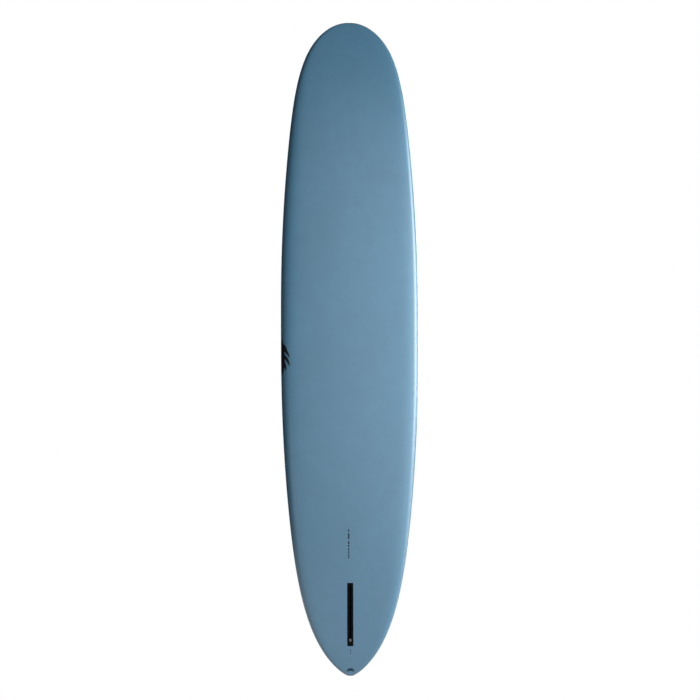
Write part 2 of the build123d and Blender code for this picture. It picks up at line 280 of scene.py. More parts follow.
def stacked(loops, closed=False):
    """A form through loops of equal count. It is capped, or closed from last to first."""
    count = len(loops[0])
    last = len(loops) - 1
    faces = []
    for k in range(last + closed):
        a, b = k * count, (k + 1) % len(loops) * count
        for i in range(count):
            j = (i + 1) % count
            faces.append((a + i, a + j, b + j, b + i))
    if not closed:
        faces.append(tuple(reversed(range(count))))
        faces.append(tuple(range(last * count, (last + 1) * count)))
    return np.concatenate(loops), faces


def welded(points, faces):
    """The same form with points that share a place made one."""
    _, first, index = np.unique(
        np.round(points, 4), axis=0, return_index=True, return_inverse=True
    )
    index = index.reshape(-1)
    faces = [tuple(dict.fromkeys(index[list(face)].tolist())) for face in faces]
    return points[first], [face for face in faces if len(face) > 2]


def rounded_loop(half_x, half_y, corner, centre, side_levels, steps=6, notch=None):
    """A round-cornered rectangle, anticlockwise, with the same count whatever its size."""
    cx, cy = centre
    levels = [min(max(v, cy - half_y + corner), cy + half_y - corner) for v in side_levels]

    def side(v):
        return notch(v) if notch else half_x

    loop = [(cx + side(v), v) for v in levels]
    for turn in range(4):
        sx = 1 if turn in (0, 3) else -1
        sy = 1 if turn in (0, 1) else -1
        for k in range(steps + 1):
            angle = pi / 2 * (turn + k / steps)
            x = cx + sx * (half_x - corner) + corner * cos(angle)
            y = cy + sy * (half_y - corner) + corner * sin(angle)
            loop.append((x, y))
        if turn == 1:
            loop += [(cx - side(v), v) for v in reversed(levels)]
    return np.array(loop)


def nearest_on_rounded(points, half_x, half_y, corner, centre):
    """The nearest places on a round-cornered rectangle to points outside it."""
    offset = points - np.array(centre)
    core = np.clip(offset, (corner - half_x, corner - half_y), (half_x - corner, half_y - corner))
    away = offset - core
    return np.array(centre) + core + away / np.linalg.norm(away, axis=1)[:, None] * corner


# ---------------------------------------------------------------- the plane of the fin box, in mm

BOX_STATION = 264.0
SLOPE_REACH = 100
SLOPE = float(
    surface_y(0, BOX_STATION + SLOPE_REACH, False) - surface_y(0, BOX_STATION - SLOPE_REACH, False)
) / (2 * SLOPE_REACH)
OUT = np.array([0, -1, SLOPE]) / sqrt(1 + SLOPE**2)
FORWARD = np.array([0, SLOPE, 1]) / sqrt(1 + SLOPE**2)
BOX_ORIGIN = np.array([0, float(surface_y(0, BOX_STATION, False)), BOX_STATION])


def box_points(loop, depth):
    """Places in mm from places on the fin box's plane and a depth below it."""
    loop = np.asarray(loop, float)
    depth = np.broadcast_to(depth, len(loop))
    return (
        BOX_ORIGIN
        + loop[:, :1] * np.array([1, 0, 0])
        + loop[:, 1:] * FORWARD
        - depth[:, None] * OUT
    )


def hull_depth(loop):
    """Depth of the hull's face below the fin box's plane."""
    depth = np.zeros(len(loop))
    for _ in range(6):
        points = box_points(loop, depth)
        depth += surface_y(points[:, 0], points[:, 2], False) - points[:, 1]
    return depth


# ---------------------------------------------------------------- hull and deck skins

HULL_COLUMNS = 32
LAP_COLUMNS = 10
DECK_COLUMNS = 14
PINLINE = 3.6
FLANGE = (13.1, 136.5, 3.0)  # half width, half length and corner radius
PLUG_CENTRE = (24.0, 94.0)
PLUG_RADIUS = 14.3
SEAM = 0.06  # open joint round the flush plastic pieces
# how far the remade cells reach at least: sideways, past the flange's ends and past the plug
BOX_SIDE, BOX_PAST, PLUG_PAST = 17.0, 6.0, 1.2
SCOOP = {"station": 12.0, "slope": 0.158, "rise": 0.9, "radius": 17.6, "wall": 0.43}
SCOOP_BLEND = 0.006
SCOOP_EDGE = (30, 24)
SCOOP_TRACE = 0.004  # a shallower sink leaves the hull's own normals
# painted shade in the tail scoop: the crescent's station and bow, and how it fades across and at
# its ends, in mm
SCOOP_PAINTED_SHADE = {"crown": 27.1, "bow": 4.4 / 13**2, "across": (8.4, 1.4), "ends": (20.5, 8.0)}


def spread(start, end, step):
    return list(np.linspace(start, end, max(2, round(abs(end - start) / step) + 1)))


ROW_GAP = 0.06  # rows closer than this become one
# first and last station and the step between the mesh rows
ROW_SPANS = [
    (TIP_ROUND, 44, 1.3), (78, 128, 4), (128, 420, 7), (420, 2300, 17),
    (2300, 2640, 11), (2640, 2716, 7), (LAP_NOSE, LENGTH - TIP_ROUND, 3),
]


def station_rows():
    """Stations of the mesh rows, close together at the tips and the ends of the lap line."""
    tip = [TIP_ROUND * (1 - cos(pi / 2 * k / 7)) for k in range(8)]
    lap_end = [0.5 * k * k for k in range(9)]
    rows = tip + [LENGTH - gap for gap in tip]
    rows += [LAP_TAIL + gap for gap in lap_end] + [LAP_NOSE - gap for gap in lap_end]
    for span in ROW_SPANS:
        rows += spread(*span)
    rows = sorted(rows)
    kept = rows[:1]
    fixed = (LAP_TAIL, LAP_NOSE)
    for z in rows[1:]:
        if z - kept[-1] > ROW_GAP:
            kept.append(z)
        elif z in fixed:
            kept[-1] = z
    return np.array(kept)


ROWS = station_rows()


def smoothstep(low, high, value):
    t = np.clip((value - low) / (high - low), 0, 1)
    return t * t * (3 - 2 * t)


def scoop_sink(x, z):
    """Depth of the small scoop in the hull at the tail, deepest on its nose side."""
    reach = np.hypot(x, z - SCOOP["station"])
    bed = SCOOP["slope"] * (z - SCOOP["station"]) - SCOOP["rise"]
    sink = bed - np.clip(reach - SCOOP["radius"], 0, None) * SCOOP["wall"]
    softened = 0.5 * (sink + np.sqrt(sink * sink + SCOOP_BLEND))
    return softened * smoothstep(*SCOOP_EDGE, reach)


def painted_scoop_shade(points):
    """Painted shade in the scoop: a dark crescent along its deepest part, where its wall turns from
    the light.
    """
    x, y, z = points.T
    crown = SCOOP_PAINTED_SHADE["crown"] - SCOOP_PAINTED_SHADE["bow"] * x**2
    shade = smoothstep(*SCOOP_PAINTED_SHADE["across"], np.abs(z - crown)) * smoothstep(*SCOOP_PAINTED_SHADE["ends"], np.abs(x))
    return shade * (y < surface_y(0, z, True) - 3)


def hull_rows():
    """Template places of the hull skin: rows by columns, from lap line to lap line."""
    z = ROWS[:, None]
    width, _, _, _, hull_power, deck_power = section(z)
    steps = np.linspace(0, 1, HULL_COLUMNS + 1)[None, :]
    hull_x = width * around_share(steps + 0 * z, hull_power + 0 * steps)
    start = share_measure(lap_x(z) / width, deck_power)
    steps = np.linspace(0, 1, LAP_COLUMNS + 1)[None, 1:]
    lap = width * around_share(1 - (1 - start) * steps, deck_power + 0 * steps)
    lap[:, -1] = lap_x(ROWS)
    half = np.concatenate([hull_x, lap], axis=1)
    x = np.concatenate([-half[:, :0:-1], half], axis=1)
    deck_half = np.arange(half.shape[1]) > HULL_COLUMNS
    deck = np.concatenate([deck_half[:0:-1], deck_half])
    return x, np.broadcast_to(deck, x.shape)


def ring_faces(ring, start, end, layers, add_points):
    """Faces from the edge of a removed block of cells, in layers, to an outline inside it."""
    faces = []
    for layer in range(1, layers + 1):
        t = layer / layers
        inner = add_points(start * (1 - t) + end * t)
        for k in range(len(ring)):
            j = (k + 1) % len(ring)
            faces.append((ring[k], ring[j], inner[j], inner[k]))
        ring = inner
    return faces


def skin_points(x, z, deck):
    points = np.stack([x, surface_y(x, z, deck), z], axis=1)
    return points, face_normals(points, deck)


def numbered_grid(x, stations, shared):
    """Vertex numbers of a grid, and their x and z. A shared place is its row's first."""
    index = np.cumsum(~shared).reshape(x.shape) - 1
    index = np.where(shared, index[:, :1], index)
    z = np.broadcast_to(stations[:, None], x.shape)
    return index, list(x[~shared]), list(z[~shared])


def grid_faces(index, block):
    """Faces of the grid outside a block of its cells."""
    i0, i1, j0, j1 = block
    faces = []
    for i in range(len(index) - 1):
        for j in range(len(index[0]) - 1):
            if i0 <= i < i1 and j0 <= j < j1:
                continue
            face = (index[i][j], index[i][j + 1], index[i + 1][j + 1], index[i + 1][j])
            face = tuple(dict.fromkeys(face))
            if len(face) > 2:
                faces.append(face)
    return faces


def block_edge(index, block):
    """The vertices round a block of cells, in the order of the faces inside it."""
    i0, i1, j0, j1 = block
    ring = [index[i0][j] for j in range(j0, j1)]
    ring += [index[i][j1] for i in range(i0, i1)]
    ring += [index[i1][j] for j in range(j1, j0, -1)]
    ring += [index[i][j0] for i in range(i1, i0, -1)]
    return ring


def add_places(xs, zs, places):
    """Adds template places to the lists and gives their vertex numbers."""
    start = len(xs)
    xs.extend(x for x, _ in places)
    zs.extend(z for _, z in places)
    return list(range(start, len(xs)))


def box_block(x):
    """The block of hull cells that the fin box's flange cuts."""
    reach = FLANGE[1] + BOX_PAST
    i0 = int(np.searchsorted(ROWS, BOX_STATION - reach)) - 1
    i1 = int(np.searchsorted(ROWS, BOX_STATION + reach))
    middle = x.shape[1] // 2
    aside = 1
    while x[i0 : i1 + 1, middle + aside].min() < BOX_SIDE:
        aside += 1
    return i0, i1, middle - aside, middle + aside


def hull_faces(index, xs, zs, block):
    """Faces of the hull skin round the opening for the fin box's flange."""
    ring = block_edge(index, block)
    flat = np.array([(xs[i], surface_y(xs[i], zs[i], False), zs[i]) for i in ring])
    start = np.stack([flat[:, 0], (flat - BOX_ORIGIN) @ FORWARD], axis=1)
    opening = [size + SEAM for size in FLANGE]
    end = nearest_on_rounded(start, *opening, (0, 0))

    def add_points(points):
        return add_places(xs, zs, box_points(points, hull_depth(points))[:, [0, 2]])

    return grid_faces(index, block) + ring_faces(ring, start, end, 3, add_points)


def close_tip(points, normals, faces, edge, z, nose):
    """Adds the flat end of the tail or the nose as a fan of faces."""
    centre = len(points)
    middle_y = float(surface_y(0, z, False) + surface_y(0, z, True)) / 2
    for k in range(len(edge)):
        a, b = edge[k], edge[(k + 1) % len(edge)]
        faces.append((a, b, centre) if nose else (b, a, centre))
    points = np.concatenate([points, [(0, middle_y, z)]])
    return points, np.concatenate([normals, [(0, 0, 1 if nose else -1)]])


def build_hull_skin():
    x, deck = hull_rows()
    shared = np.zeros(x.shape, bool)
    shared[:, -1] = np.abs(x[:, -1]) < 1e-9
    index, xs, zs = numbered_grid(x, ROWS, shared)
    decks = deck[~shared]
    faces = hull_faces(index, xs, zs, box_block(x))
    xs, zs = np.array(xs), np.array(zs)
    decks = np.concatenate([decks, np.zeros(len(xs) - len(decks), bool)])
    points, normals = skin_points(xs, zs, decks)
    sink = np.where(decks, 0, scoop_sink(xs, zs))
    points[:, 1] += sink
    for row, z, nose in ((0, 0.0, False), (-1, LENGTH, True)):
        edge = list(dict.fromkeys(index[row]))
        points, normals = close_tip(points, normals, faces, edge, z, nose)
    keep = np.concatenate([sink < SCOOP_TRACE, [True, True]])
    skin = thick_skin("hull_skin", points, faces, normals, GLASS, keep)
    # painted shade: the scoop's dark crescent, kept on the points as scoop_shade
    shade = painted_scoop_shade(points)
    stain = skin.data.attributes.new("scoop_shade", "FLOAT", "POINT")
    stain.data.foreach_set("value", np.concatenate([shade, 0 * shade]))
    return skin


def deck_rows(stations):
    """Template places of the deck skin: rows by columns, between the lap lines."""
    z = stations[:, None]
    width, _, _, _, _, deck_power = section(z)
    edge = lap_x(stations)[:, None]
    line = np.clip(edge - PINLINE, 0.5 * edge, None)
    steps = np.linspace(0, 1, DECK_COLUMNS + 1)[None, :]
    measure = share_measure(line / width, deck_power) * steps
    half = width * around_share(measure, deck_power + 0 * steps)
    half[:, 0] = 0
    half = np.concatenate([half, edge], axis=1)
    return np.concatenate([half[:, :0:-1], -half], axis=1), edge


def plug_block(x, stations):
    """The block of deck cells that the leash plug cuts."""
    px, pz = PLUG_CENTRE
    room = PLUG_RADIUS + PLUG_PAST
    i0 = int(np.searchsorted(stations, pz - room)) - 1
    i1 = int(np.searchsorted(stations, pz + room))
    offset = x[i0 : i1 + 1] - px
    clear = np.hypot(offset, stations[i0 : i1 + 1, None] - pz).min(axis=0) > room
    columns = range(x.shape[1])
    j0 = max(j for j in columns if clear[j] and offset[:, j].min() > 0)
    j1 = min(j for j in columns if clear[j] and offset[:, j].max() < 0)
    return i0, i1, j0, j1


def pinline_faces(faces, xs, zs):
    """1 for each face of the deck skin that lies in the line of resin at its edge, else 0."""
    edge_at = lap_x(zs) - 0.6 * PINLINE
    outer = np.abs(xs) > edge_at
    marks = []
    for face in faces:
        middle = np.mean([zs[i] for i in face])
        at_end = min(middle - LAP_TAIL, LAP_NOSE - middle) < PINLINE - 0.8
        marks.append(float(at_end or sum(outer[i] for i in face) * 2 >= len(face)))
    return marks


def build_deck_skin():
    stations = ROWS[(ROWS >= LAP_TAIL - 1e-6) & (ROWS <= LAP_NOSE + 1e-6)]
    x, edge = deck_rows(stations)
    shared = (edge < 1e-6) & (np.arange(x.shape[1]) > 0)
    index, xs, zs = numbered_grid(x, stations, shared)
    block = plug_block(x, stations)
    ring = block_edge(index, block)
    start = np.array([(xs[i], zs[i]) for i in ring])
    end = nearest_on_rounded(start, *[PLUG_RADIUS + SEAM] * 3, PLUG_CENTRE)
    faces = grid_faces(index, block)
    faces += ring_faces(ring, start, end, 4, lambda places: add_places(xs, zs, places))
    xs, zs = np.array(xs), np.array(zs)
    deck = np.ones(len(xs), bool)
    points, normals = skin_points(xs, zs, deck)
    skin = thick_skin("deck_skin", points, faces, normals, GLASS, deck)
    marks = np.zeros(len(skin.data.polygons))
    marks[: len(faces)] = pinline_faces(faces, xs, zs)
    skin.data.attributes.new("pinline", "FLOAT", "FACE").data.foreach_set("value", marks)
    return skin


# ---------------------------------------------------------------- fin box, plate and screw

BOX_BODY = (10.5, 133.0, 8.0)  # half width, half length and corner radius
SLOT = {"half": 4.3, "length": 246.0, "place": 4.0, "depth": 20.4}
TRACK = {"top": 5.2, "height": 2.8, "half": 7.4}
DROP_IN = (22.0, 38.0)
BOX_LEVELS = [-112, -100, -85, -70, -55, -40, -25, -10, 5, 16, 21.6, 22.2, 23.5, 30, 36.5, 37.8]
BOX_LEVELS += [38.4, 45, 60, 75, 90, 105, 120]

PLATE_PLACE = -112.4
PLATE = (7.1, 6.35, 0.8)  # half width, half length and corner radius
PLATE_TOP, PLATE_BOTTOM = 5.4, 7.8
TAPPED_RADIUS, SUNK_RADIUS = 2.13, 2.45

SCREW_SIDES = 48
SCREW_TIP = (1.3, 18.8)  # radius and depth
THREAD = {"start": 3.1, "end": 18.2, "pitch": 0.8, "root": 1.78, "height": 0.3}
# radius and depth from the head's seat to its crown
SCREW_HEAD = [
    (2.1, 3.1), (3.6, 3.1), (3.76, 3.05), (3.8, 2.9), (3.8, 1.9), (3.72, 1.5),
    (3.5, 1.19), (3.16, 0.99), (2.8, 0.92), (2.3, 0.9),
]
HEAD_SLOT = (4.5, 0.55, 0.12)  # half length, half width and corner radius
HEAD_SLOT_DEPTHS = (2.1, -1.0)


def sunk(loop, depth, flush=False):
    """A loop at a depth below the fin box's plane, or below the hull's face."""
    return box_points(loop, hull_depth(loop) + depth if flush else depth)


def slot_loop(grow):
    """The slot's outline, with the drop-in opening that is as wide as the track."""
    low, high = DROP_IN
    half, reach = SLOT["half"], SLOT["length"] / 2 + grow

    def notch(v):
        return (TRACK["half"] if low < v < high else half) + grow

    return rounded_loop(half + grow, reach, half, (0, SLOT["place"]), BOX_LEVELS, notch=notch)


def build_fin_box():
    def outside(size, inset, depth, flush=False):
        half_x, half_y, corner = size
        corner = max(corner - inset, 0.5)
        loop = rounded_loop(half_x - inset, half_y - inset, corner, (0, 0), BOX_LEVELS)
        return sunk(loop, depth, flush)

    def inside(half, corner, depth):
        loop = rounded_loop(half, SLOT["length"] / 2, corner, (0, SLOT["place"]), BOX_LEVELS)
        return sunk(loop, depth)

    half = SLOT["half"]
    track_floor = TRACK["top"] + TRACK["height"]
    loops = [
        outside(BOX_BODY, 0.6, 25.4),
        outside(BOX_BODY, 0.15, 25.1),
        outside(BOX_BODY, 0, 24.6),
        outside(BOX_BODY, 0, 3.2),
        outside(FLANGE, 0.1, 3.2),
        outside(FLANGE, 0, 3.0),
        outside(FLANGE, 0, 0.15, flush=True),
        outside(FLANGE, 0.04, 0.04, flush=True),
        outside(FLANGE, 0.15, 0, flush=True),
        sunk(slot_loop(0.55), 0, flush=True),
        sunk(slot_loop(0.4), 0.04, flush=True),
        sunk(slot_loop(0.08), 0.35, flush=True),
        sunk(slot_loop(0), 0.6, flush=True),
        sunk(slot_loop(0), TRACK["top"]),
        inside(TRACK["half"], 1.0, TRACK["top"]),
        inside(TRACK["half"], 1.0, track_floor),
        inside(half, half, track_floor),
        inside(half, half, SLOT["depth"] - 0.5),
        inside(half - 0.5, half - 0.5, SLOT["depth"]),
    ]
    return make_object("fin_box_shell", *welded(*stacked(loops)))


def round_screw(radius, angles):
    """A loop round the screw's axis, on the fin box's plane."""
    return np.stack([radius * np.cos(angles), PLATE_PLACE + radius * np.sin(angles)], axis=1)


def build_fin_plate():
    """The tapped plate, with softened edges and a countersunk hole."""
    half_x, half_y, corner = PLATE

    def outer(inset, depth):
        place = (0, PLATE_PLACE)
        loop = rounded_loop(half_x - inset, half_y - inset, corner, place, (PLATE_PLACE,))
        return box_points(loop, depth)

    base = rounded_loop(half_x, half_y, corner, (0, 0), (0,))
    angles = np.arctan2(base[:, 1], base[:, 0])
    top, bottom = PLATE_TOP, PLATE_BOTTOM
    loops = [
        box_points(round_screw(TAPPED_RADIUS, angles), bottom - 0.3),
        box_points(round_screw(SUNK_RADIUS, angles), bottom),
        outer(0.3, bottom),
        outer(0.07, bottom - 0.09),
        outer(0, bottom - 0.3),
        outer(0, top + 0.3),
        outer(0.07, top + 0.09),
        outer(0.3, top),
        box_points(round_screw(SUNK_RADIUS, angles), top),
        box_points(round_screw(TAPPED_RADIUS, angles), top + 0.3),
    ]
    return make_object("fin_plate_tapped", *stacked(loops, closed=True))


def thread_loops(angles):
    """The threaded shank from its tip end up to the head, the ridge fading at both ends."""
    start, end, pitch, root, height = THREAD.values()
    rows = int((end - start) / pitch * 8)
    loops = []
    for row in range(rows + 1):
        depth = end - (end - start) * row / rows
        turn = (depth / pitch - angles / (2 * pi)) % 1
        ridge = np.clip(1.25 - np.abs(turn - 0.5) * 3.2, 0, 1)
        fade = max(0, min(1, (end - depth) / 0.8, (depth - start) / 1.2))
        loops.append(box_points(round_screw(root + height * ridge * fade, angles), depth))
    return loops


def build_fin_screw():
    """A slotted pan-head screw with a cut thread."""
    angles = np.arange(SCREW_SIDES) * 2 * pi / SCREW_SIDES

    def turned(radius, depth):
        return box_points(round_screw(radius, angles), depth)

    loops = [turned(*SCREW_TIP), *thread_loops(angles), *[turned(*step) for step in SCREW_HEAD]]
    screw = make_object("fin_screw_threaded", *stacked(loops))
    corners = rounded_loop(*HEAD_SLOT, (0, PLATE_PLACE), (PLATE_PLACE,), steps=3)
    ends = [box_points(corners, depth) for depth in HEAD_SLOT_DEPTHS]
    cut_away(screw, make_object("driver_cut", *stacked(ends)))
    return screw


def cut_away(piece, cutter):
    """Takes the cutter's space out of the piece."""
    cut = piece.modifiers.new("cut", "BOOLEAN")
    cut.operation = "DIFFERENCE"
    cut.object = cutter
    cut.solver = "EXACT"
    graph = bpy.context.evaluated_depsgraph_get()
    mesh = bpy.data.meshes.new_from_object(piece.evaluated_get(graph))
    piece.modifiers.clear()
    piece.data = mesh
    bpy.data.objects.remove(cutter)
    mesh.shade_smooth()
    mesh.set_sharp_from_angle(angle=SHARP)


# ---------------------------------------------------------------- leash plug

PLUG_SIDES = 64
# radius and depth from the cup's underside up its outside, over its rim and down its wall
CUP_OUTSIDE = [(12.3, 19), (12.65, 18.85), (12.8, 18.5), (12.8, 2), (14.2, 2), (PLUG_RADIUS, 1.9)]
CUP_RIM = [
    (PLUG_RADIUS, 0.15), (14.26, 0.04), (14.15, 0), (11.7, 0), (11.3, 0.1), (10.95, 0.4),
    (10.8, 0.9),
]
CUP_BEND = 9.0  # where the wall turns into the bowl
CUP_ROUND = 7.0
CUP_FLOOR_RADIUS = 3.8


def plug_points(radius, depth, flush=False):
    """A ring round the leash plug's axis at a depth below the deck."""
    angles = -np.arange(PLUG_SIDES) * 2 * pi / PLUG_SIDES
    x = PLUG_CENTRE[0] + radius * np.cos(angles)
    z = PLUG_CENTRE[1] + radius * np.sin(angles)
    level = surface_y(x, z, True) if flush else float(surface_y(0, PLUG_CENTRE[1], True))
    return np.stack([x, level - depth + 0 * x, z], axis=1)


def build_leash_cup():
    """The cup, its bowl rounded into the floor."""
    loops = [plug_points(*step) for step in CUP_OUTSIDE]
    loops += [plug_points(*step, flush=True) for step in CUP_RIM]
    for step in range(9):
        angle = pi / 2 * step / 8
        radius = CUP_FLOOR_RADIUS + CUP_ROUND * cos(angle)
        loops.append(plug_points(radius, CUP_BEND + CUP_ROUND * sin(angle)))
    return make_object("leash_cup", *stacked(loops))


# ---------------------------------------------------------------- printed tissue

PRINT_PROUD = 0.09
PRINT_DEPTH = 0.3


def printed(name, patches):
    """Thin inlays that follow the hull. Each patch is rows of places on the template."""
    points, faces, normals = [], [], []
    offset = 0
    for patch in patches:
        rows, columns = len(patch), len(patch[0])
        flat = np.array([place for row in patch for place in row], float)
        y = surface_y(flat[:, 0], flat[:, 1], False)
        here = np.stack([flat[:, 0], y, flat[:, 1]], axis=1)
        normal = face_normals(here, np.zeros(len(here), bool))
        points.append(here + normal * PRINT_PROUD)
        normals.append(normal)
        for i in range(rows - 1):
            for j in range(columns - 1):
                a = offset + i * columns + j
                faces.append((a, a + 1, a + columns + 1, a + columns))
        offset += rows * columns
    points, normals = np.concatenate(points), np.concatenate(normals)
    first = np.array([points[i] for i in faces[0]])
    facing = np.cross(first[1] - first[0], first[2] - first[0]) @ normals[faces[0][0]]
    if facing < 0:
        faces = [tuple(reversed(face)) for face in faces]
    keep = np.ones(len(points), bool)
    return thick_skin(name, points, faces, normals, PRINT_DEPTH, keep)


def dash(x, low, high, width):
    """A small dash with rounded ends."""
    rows = []
    for t in np.linspace(0, 1, 9):
        end = min(t, 1 - t) * (high - low)
        half = width / 2 * min(1, 0.45 + 0.55 * sqrt(min(end / (0.35 * width), 1)))
        rows.append([(x - half * (1 - 2 * s / 4), low + (high - low) * t) for s in range(5)])
    return rows


def leaf(base, tip, bow, width, steps=14):
    """A pointed blade on the left rail, from a base to a tip given as (inset, station)."""
    base, tip = np.array(base, float), np.array(tip, float)
    along = tip - base
    side = np.array([along[1], -along[0]]) / np.linalg.norm(along)
    rows = []
    for t in np.linspace(0.01, 0.99, steps + 1):
        centre = base + along * t + side * bow * 4 * t * (1 - t)
        half = width / 2 * (sin(pi * t**0.7)) ** 0.8
        row = []
        for s in np.linspace(-1, 1, 7):
            inset, z = centre + side * half * s
            row.append((-float(half_width(z)) + max(inset, 0.02), z))
        rows.append(row)
    return rows


# first and last station of each dash
CENTRE_DASHES = [
    (505, 512), (514.5, 522.5), (526.5, 535.5), (539, 548.5), (553, 562.5),
    (565, 578.5), (586, 612.5), (618, 628.5),
]
TAIL_DASHES = [(94, 101), (104, 115)]


def build_rail_mark():
    """A plain sprig of leaves that lies along the left rail."""
    blades = [
        # the first blade is a thin line at the rail's very edge, drawn past the sprig at both ends:
        # partly print, partly painted shade of the rail's edge
        leaf((0.4, 1266), (0.5, 1466), 3.2, 6.4, steps=36),
        leaf((2.6, 1282), (4.8, 1448), 6.5, 13.0, steps=30),
        leaf((5.0, 1418), (27.0, 1384), -3.0, 11.0),
        leaf((5.0, 1404), (37.0, 1358), -5.0, 12.0),
        leaf((5.0, 1376), (37.5, 1322), -5.5, 12.5),
        leaf((5.0, 1348), (21.0, 1304), -3.5, 12.0),
    ]
    return printed("rail_mark_leaves", blades)


def build_centre_label():
    return printed("centre_label_dashes", [dash(-6.0, *ends, 6.2) for ends in CENTRE_DASHES])


def build_tail_label():
    return printed("tail_label_dashes", [dash(0.6, *ends, 2.6) for ends in TAIL_DASHES])


# ---------------------------------------------------------------- materials


def set_range(node, *numbers):
    for key, number in zip(("From Min", "From Max", "To Min", "To Max"), numbers):
        node.inputs[key].default_value = number


class Nodes:
    """Short calls for a material's node tree."""

    def __init__(self, name):
        self.material = bpy.data.materials.new(name)
        self.material.use_nodes = True
        self.tree = self.material.node_tree
        self.shader = self.tree.nodes["Principled BSDF"]
        self.place = self.tree.nodes.new("ShaderNodeTexCoord").outputs["Object"]

    def link(self, source, target):
        self.tree.links.new(source, target)

    def put(self, **values):
        for key, value in values.items():
            self.shader.inputs[key.replace("_", " ")].default_value = value

    def stretch(self, *scale):
        node = self.tree.nodes.new("ShaderNodeMapping")
        node.inputs["Scale"].default_value = scale
        self.link(self.place, node.inputs["Vector"])
        return node.outputs["Vector"]

    def noise(self, scale, detail=3.0, rough=0.55, at=None, warp=0.0):
        node = self.tree.nodes.new("ShaderNodeTexNoise")
        node.inputs["Scale"].default_value = scale
        node.inputs["Detail"].default_value = detail
        node.inputs["Roughness"].default_value = rough
        node.inputs["Distortion"].default_value = warp
        self.link(at or self.place, node.inputs["Vector"])
        return node.outputs["Fac"]

    def cells(self, scale):
        node = self.tree.nodes.new("ShaderNodeTexVoronoi")
        node.inputs["Scale"].default_value = scale
        self.link(self.place, node.inputs["Vector"])
        return node.outputs["Distance"]

    def rub(self):
        """Patches of polish and wear."""
        return self.noise(38.0, 4.0, 0.7)

    def wave(self, scale, direction, distortion):
        node = self.tree.nodes.new("ShaderNodeTexWave")
        node.bands_direction = direction
        node.inputs["Scale"].default_value = scale
        node.inputs["Distortion"].default_value = distortion
        node.inputs["Detail"].default_value = 2.0
        self.link(self.place, node.inputs["Vector"])
        return node.outputs["Fac"]

    def spread(self, value, low, high, to_low, to_high):
        node = self.tree.nodes.new("ShaderNodeMapRange")
        set_range(node, low, high, to_low, to_high)
        self.link(value, node.inputs["Value"])
        return node.outputs["Result"]

    def math(self, operation, a, b):
        node = self.tree.nodes.new("ShaderNodeMath")
        node.operation = operation
        for socket, value in zip(node.inputs, (a, b)):
            if isinstance(value, (int, float)):
                socket.default_value = value
            else:
                self.link(value, socket)
        return node.outputs["Value"]

    def mix(self, factor, a, b, blend="MIX"):
        node = self.tree.nodes.new("ShaderNodeMix")
        node.data_type = "RGBA"
        node.blend_type = blend
        sockets = [node.inputs["Factor"], node.inputs[6], node.inputs[7]]
        for socket, value in zip(sockets, (factor, a, b)):
            if isinstance(value, tuple):
                socket.default_value = (*value, 1)
            elif isinstance(value, float):
                socket.default_value = value
            else:
                self.link(value, socket)
        return node.outputs[2]

    def attribute(self, name):
        node = self.tree.nodes.new("ShaderNodeAttribute")
        node.attribute_name = name
        return node.outputs["Fac"]

    def bump(self, height, strength, distance):
        node = self.tree.nodes.new("ShaderNodeBump")
        node.inputs["Strength"].default_value = strength
        node.inputs["Distance"].default_value = distance
        self.link(height, node.inputs["Height"])
        return node.outputs["Normal"]

    def colour(self, value):
        self.link(value, self.shader.inputs["Base Color"])

    def roughness(self, value):
        self.link(value, self.shader.inputs["Roughness"])

    def normal(self, value):
        self.link(value, self.shader.inputs["Normal"])


TINT = (0.088, 0.245, 0.385)


def scaled(colour, factor):
    return tuple(min(1.0, channel * factor) for channel in colour)


def tinted_glass(name, tone=1.0, scoop=False, pinline=False):
    """Resin tint over glass cloth: cloudy pigment, a faint weave and a rubbed gloss coat."""
    m = Nodes(name)
    tint = scaled(TINT, tone)
    clouds = m.spread(m.noise(2.6, 4.0, 0.6, m.stretch(1.6, 1.6, 0.8), 0.8), 0.3, 0.7, 0.0, 1.0)
    colour = m.mix(clouds, scaled(tint, 0.955), scaled(tint, 1.045))
    drift = m.spread(m.noise(19.0, 3.0, 0.65), 0.25, 0.75, 0.965, 1.035)
    weave = m.math("ADD", m.wave(225.0, "X", 0.6), m.wave(225.0, "Z", 0.6))
    speck = m.spread(m.noise(420.0, 2.0, 0.7), 0.3, 0.7, 0.985, 1.015)
    grain = m.math("MULTIPLY", drift, speck)
    grain = m.math("MULTIPLY", grain, m.spread(weave, 0, 2, 0.985, 1.015))
    colour = m.mix(1.0, colour, grain, "MULTIPLY")
    if scoop:
        # painted shade: the scoop's crescent is darkened in the colour
        shade = m.attribute("scoop_shade")
        colour = m.mix(m.spread(shade, 0, 1, 0, 0.95), colour, (0.004, 0.016, 0.030))
    if pinline:
        edge = m.attribute("pinline")
        colour = m.mix(edge, colour, (0.012, 0.042, 0.075))
    m.colour(colour)
    rub = m.rub()
    rubbed = m.spread(rub, 0.25, 0.75, 0.36, 0.44)
    if scoop:
        rubbed = m.math("MAXIMUM", rubbed, m.spread(shade, 0, 0.5, 0.4, 0.92))
        m.link(m.spread(shade, 0, 0.7, 1.0, 0.04), m.shader.inputs["Coat Weight"])
    m.roughness(rubbed)
    ripple = m.math("ADD", m.noise(7.0, 2.0), m.math("MULTIPLY", rub, 0.06))
    surface = m.math("ADD", ripple, m.math("MULTIPLY", weave, 0.004))
    m.normal(m.bump(surface, 0.10, 0.004))
    m.put(Specular_IOR_Level=0.5, Coat_Weight=1.0, Coat_Roughness=0.32, Coat_IOR=1.5)
    return m.material


